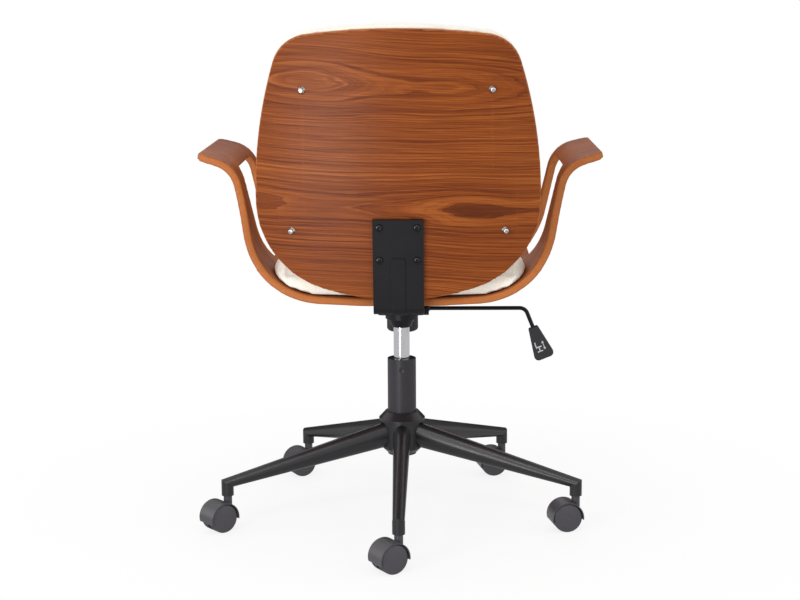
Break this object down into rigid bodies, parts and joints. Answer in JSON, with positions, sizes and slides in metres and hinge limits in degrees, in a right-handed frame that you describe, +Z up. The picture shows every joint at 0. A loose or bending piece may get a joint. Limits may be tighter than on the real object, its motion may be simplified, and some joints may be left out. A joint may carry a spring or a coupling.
{
  "type": "office chair",
  "caption": "Swivel office chair with a bent walnut ply seat and armrests, a padded back, gas lift, tilt mechanism and a steel star base on twin-wheel casters.",
  "frame": {"origin": "on the floor, on the axis of the column", "axes": "+Z up along the column; the sitter faces -Y, so the back is at +Y; the lever is on -X, the sitter's right"},
  "size_m": [0.6912, 0.6355, 0.8712],
  "materials": {
    "gloss_black_steel": "gloss black paint",
    "column_black": "satin black paint",
    "satin_black_steel": "satin black powder coat",
    "chrome": "polished",
    "bright_steel": "plain zinc plate",
    "lever_black": "satin black",
    "caster_plastic": "moulded, satin",
    "black_plastic": "moulded, fine texture",
    "seal_rubber": "smooth",
    "walnut": "satin lacquered walnut veneer on bent ply",
    "pale_ply": "raw ply",
    "upholstery": "cream cover over foam"
  },
  "bodies": {
    "base": {"base_hub": "gloss_black_steel", "hub_collar": "gloss_black_steel", "base_leg_1": "gloss_black_steel", "base_leg_2": "gloss_black_steel", "base_leg_3": "gloss_black_steel", "base_leg_4": "gloss_black_steel", "base_leg_5": "gloss_black_steel", "column_tube": "column_black", "guide_bush": "black_plastic", "thrust_bearing": "bright_steel"},
    "rod": {"piston_rod": "bright_steel", "rod_clip": "bright_steel"},
    "lift": {"pressure_tube": "chrome", "rod_seal": "seal_rubber", "valve_plug": "bright_steel", "mech_housing": "satin_black_steel", "tilt_pin": "bright_steel", "tension_spring": "bright_steel"},
    "seat": {"seat_plate": "satin_black_steel", "tension_bolt": "bright_steel", "back_bracket": "satin_black_steel", "bracket_screws": "gloss_black_steel", "seat_bolts": "bright_steel", "seat_shell": "walnut", "seat_cushion": "upholstery", "back_panel": "walnut", "back_board": "pale_ply", "back_cushion": "upholstery", "back_screws": "chrome", "back_washers": "chrome"},
    "knob": {"tension_knob": "black_plastic"},
    "lever_ball": {"lever_bush": "black_plastic"},
    "lever": {"lever_rod": "lever_black", "lever_paddle": "black_plastic"},
    "valve_pin": {"release_pin": "bright_steel"},
    "caster_1": {"caster_1_hood": "caster_plastic", "caster_1_stem": "bright_steel", "caster_1_axle": "bright_steel"},
    "caster_1_left": {"caster_1_wheel_left": "caster_plastic"},
    "caster_1_right": {"caster_1_wheel_right": "caster_plastic"},
    "caster_2": {"caster_2_hood": "caster_plastic", "caster_2_stem": "bright_steel", "caster_2_axle": "bright_steel"},
    "caster_2_left": {"caster_2_wheel_left": "caster_plastic"},
    "caster_2_right": {"caster_2_wheel_right": "caster_plastic"},
    "caster_3": {"caster_3_hood": "caster_plastic", "caster_3_stem": "bright_steel", "caster_3_axle": "bright_steel"},
    "caster_3_left": {"caster_3_wheel_left": "caster_plastic"},
    "caster_3_right": {"caster_3_wheel_right": "caster_plastic"},
    "caster_4": {"caster_4_hood": "caster_plastic", "caster_4_stem": "bright_steel", "caster_4_axle": "bright_steel"},
    "caster_4_left": {"caster_4_wheel_left": "caster_plastic"},
    "caster_4_right": {"caster_4_wheel_right": "caster_plastic"},
    "caster_5": {"caster_5_hood": "caster_plastic", "caster_5_stem": "bright_steel", "caster_5_axle": "bright_steel"},
    "caster_5_left": {"caster_5_wheel_left": "caster_plastic"},
    "caster_5_right": {"caster_5_wheel_right": "caster_plastic"}
  },
  "joints": [
    {"name": "swivel", "type": "hinge", "parent": "base", "child": "rod", "pos_m": [0, 0, 0.119], "axis": [0, 0, 1], "continuous": true},
    {"name": "height", "type": "slide", "parent": "rod", "child": "lift", "axis": [0, 0, 1], "range_m": [-0.045, 0.045]},
    {"name": "tilt", "type": "hinge", "parent": "lift", "child": "seat", "pos_m": [0, -0.04, 0.384], "axis": [-1, 0, 0], "range_deg": [0, 12], "stiffness_Nm_per_rad": 150, "springref_deg": -20.05, "deforming": ["tension_spring"]},
    {"name": "tension_turn", "type": "hinge", "parent": "seat", "child": "knob", "pos_m": [0, -0.088, 0.328], "axis": [0, 0, 1], "range_deg": [-720, 720]},
    {"name": "lever_lift", "type": "hinge", "parent": "lift", "child": "lever_ball", "pos_m": [-0.044, 0, 0.37], "axis": [0, 1, 0], "range_deg": [0, 6], "stiffness_Nm_per_rad": 6, "springref_deg": -5.73},
    {"name": "lever_pull", "type": "slide", "parent": "lever_ball", "child": "lever", "axis": [-1, 0, 0], "range_m": [0, 0.006]},
    {"name": "valve_press", "type": "slide", "parent": "lift", "child": "valve_pin", "axis": [0, 0, -1], "range_m": [0, 0.005]},
    {"name": "caster_1_swivel", "type": "hinge", "parent": "base", "child": "caster_1", "pos_m": [0, 0.3155, 0.06], "axis": [0, 0, 1], "continuous": true},
    {"name": "caster_1_left_spin", "type": "hinge", "parent": "caster_1", "child": "caster_1_left", "pos_m": [0.0151, 0.3253, 0.025], "axis": [-0.5446, 0.8387, 0], "continuous": true},
    {"name": "caster_1_right_spin", "type": "hinge", "parent": "caster_1", "child": "caster_1_right", "pos_m": [0.0151, 0.3253, 0.025], "axis": [-0.5446, 0.8387, 0], "continuous": true},
    {"name": "caster_2_swivel", "type": "hinge", "parent": "base", "child": "caster_2", "pos_m": [-0.30006, 0.09749, 0.06], "axis": [0, 0, 1], "continuous": true},
    {"name": "caster_2_left_spin", "type": "hinge", "parent": "caster_2", "child": "caster_2_left", "pos_m": [-0.28245, 0.10124, 0.025], "axis": [-0.2079, 0.9781, 0], "continuous": true},
    {"name": "caster_2_right_spin", "type": "hinge", "parent": "caster_2", "child": "caster_2_right", "pos_m": [-0.28245, 0.10124, 0.025], "axis": [-0.2079, 0.9781, 0], "continuous": true},
    {"name": "caster_3_swivel", "type": "hinge", "parent": "base", "child": "caster_3", "pos_m": [-0.18545, -0.25524, 0.06], "axis": [0, 0, 1], "continuous": true},
    {"name": "caster_3_left_spin", "type": "hinge", "parent": "caster_3", "child": "caster_3_left", "pos_m": [-0.16784, -0.2515, 0.025], "axis": [-0.2079, 0.9781, 0], "continuous": true},
    {"name": "caster_3_right_spin", "type": "hinge", "parent": "caster_3", "child": "caster_3_right", "pos_m": [-0.16784, -0.2515, 0.025], "axis": [-0.2079, 0.9781, 0], "continuous": true},
    {"name": "caster_4_swivel", "type": "hinge", "parent": "base", "child": "caster_4", "pos_m": [0.18545, -0.25524, 0.06], "axis": [0, 0, 1], "continuous": true},
    {"name": "caster_4_left_spin", "type": "hinge", "parent": "caster_4", "child": "caster_4_left", "pos_m": [0.20134, -0.24679, 0.025], "axis": [-0.4695, 0.8829, 0], "continuous": true},
    {"name": "caster_4_right_spin", "type": "hinge", "parent": "caster_4", "child": "caster_4_right", "pos_m": [0.20134, -0.24679, 0.025], "axis": [-0.4695, 0.8829, 0], "continuous": true},
    {"name": "caster_5_swivel", "type": "hinge", "parent": "base", "child": "caster_5", "pos_m": [0.30006, 0.09749, 0.06], "axis": [0, 0, 1], "continuous": true},
    {"name": "caster_5_left_spin", "type": "hinge", "parent": "caster_5", "child": "caster_5_left", "pos_m": [0.31385, 0.10906, 0.025], "axis": [-0.6428, 0.766, 0], "continuous": true},
    {"name": "caster_5_right_spin", "type": "hinge", "parent": "caster_5", "child": "caster_5_right", "pos_m": [0.31385, 0.10906, 0.025], "axis": [-0.6428, 0.766, 0], "continuous": true}
  ],
  "couplings": [
    {"joint": "valve_press", "follows": "lever_lift", "m_per_rad": 0.044}
  ]
}
